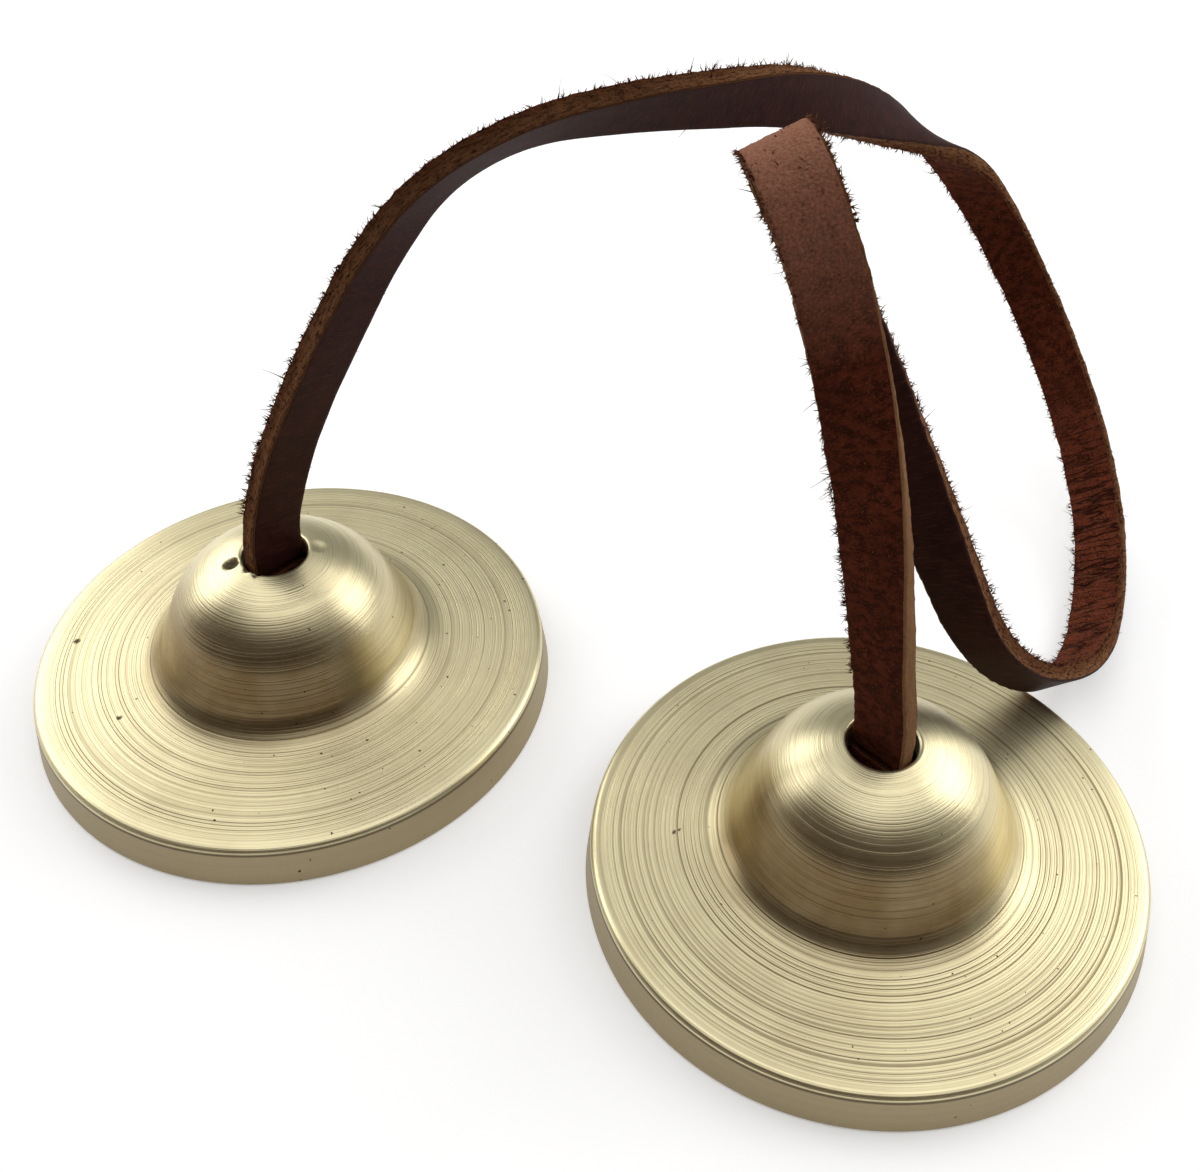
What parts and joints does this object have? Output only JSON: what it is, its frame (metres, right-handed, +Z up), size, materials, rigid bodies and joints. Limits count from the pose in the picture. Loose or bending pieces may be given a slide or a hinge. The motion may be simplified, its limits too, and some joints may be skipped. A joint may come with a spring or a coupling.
{
  "type": "hand cymbals on a strap",
  "caption": "Small domed brass hand cymbals with thick upright rims, joined by a flat leather strap that passes through each dome and is knotted inside; rung edge to edge.",
  "frame": {"origin": "on the floor, halfway between the centres of the cymbals", "axes": "+Z up, +X from the left cymbal to the right one, +Y away from the front"},
  "size_m": [0.1416, 0.1231, 0.088],
  "materials": {
    "bell_metal": "turned on a lathe, satin",
    "strap_leather": "smooth grain on one face, rough flesh on the other, raw cut edges"
  },
  "bodies": {
    "strap": {"strap": "strap_leather"},
    "left_knot": {"left_knot": "strap_leather"},
    "left_cymbal": {"left_cymbal": "bell_metal"},
    "right_knot": {"right_knot": "strap_leather"},
    "right_cymbal": {"right_cymbal": "bell_metal"}
  },
  "joints": [
    {"name": "left_tilt", "type": "hinge", "parent": "strap", "child": "left_knot", "pos_m": [-0.03835, 0, 0.02082], "axis": [-0.3818, -0.9243, 0], "range_deg": [-18, 18]},
    {"name": "left_spin", "type": "hinge", "parent": "left_knot", "child": "left_cymbal", "pos_m": [-0.03835, 0, 0.02082], "axis": [0, 0, 1], "continuous": true},
    {"name": "right_tilt", "type": "hinge", "parent": "strap", "child": "right_knot", "pos_m": [0.03835, 0, 0.02082], "axis": [-0.9207, 0.3903, 0], "range_deg": [0, 18]},
    {"name": "right_spin", "type": "hinge", "parent": "right_knot", "child": "right_cymbal", "pos_m": [0.03835, 0, 0.02082], "axis": [0, 0, 1], "continuous": true}
  ]
}
